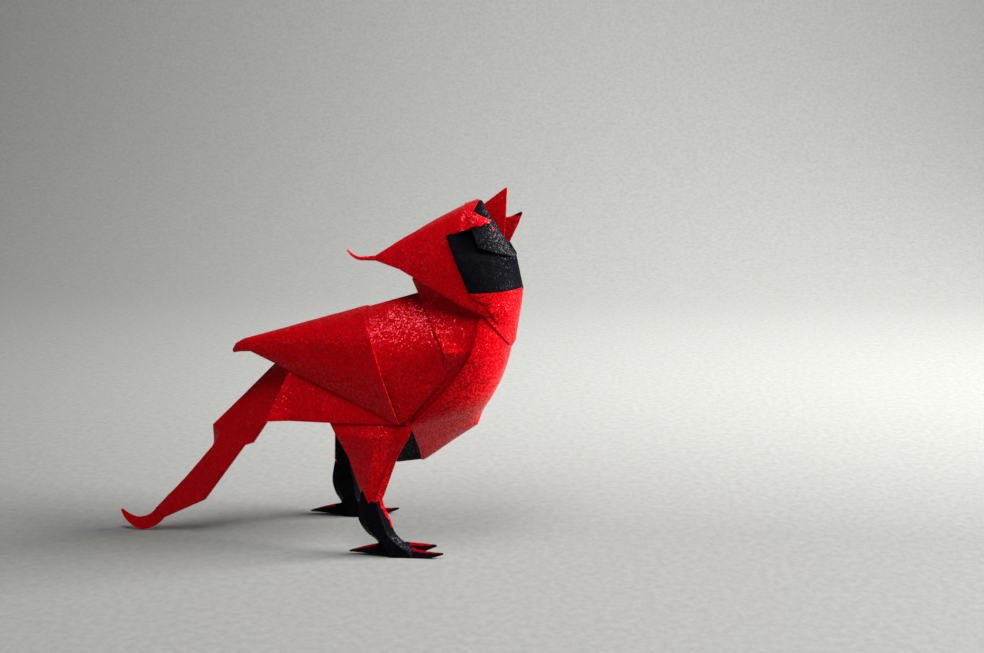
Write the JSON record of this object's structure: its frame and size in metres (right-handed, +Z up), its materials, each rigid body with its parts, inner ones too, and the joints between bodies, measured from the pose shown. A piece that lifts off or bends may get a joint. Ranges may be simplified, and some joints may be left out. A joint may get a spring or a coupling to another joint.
{
  "type": "origami cardinal",
  "caption": "Standing songbird folded from one sheet of paper, red outside and black inside, with a crest, open beak, long tail and striding legs.",
  "frame": {"origin": "on the floor under the middle of the bird's outline", "axes": "+X the way the bird faces, +Y to its left side, +Z up"},
  "size_m": [0.1568, 0.044, 0.1356],
  "materials": {
    "paper": "handmade paper with a fibrous sheen, red on one side and charcoal black on the other"
  },
  "bodies": {
    "root": {"folded_bird": "paper"}
  },
  "joints": []
}
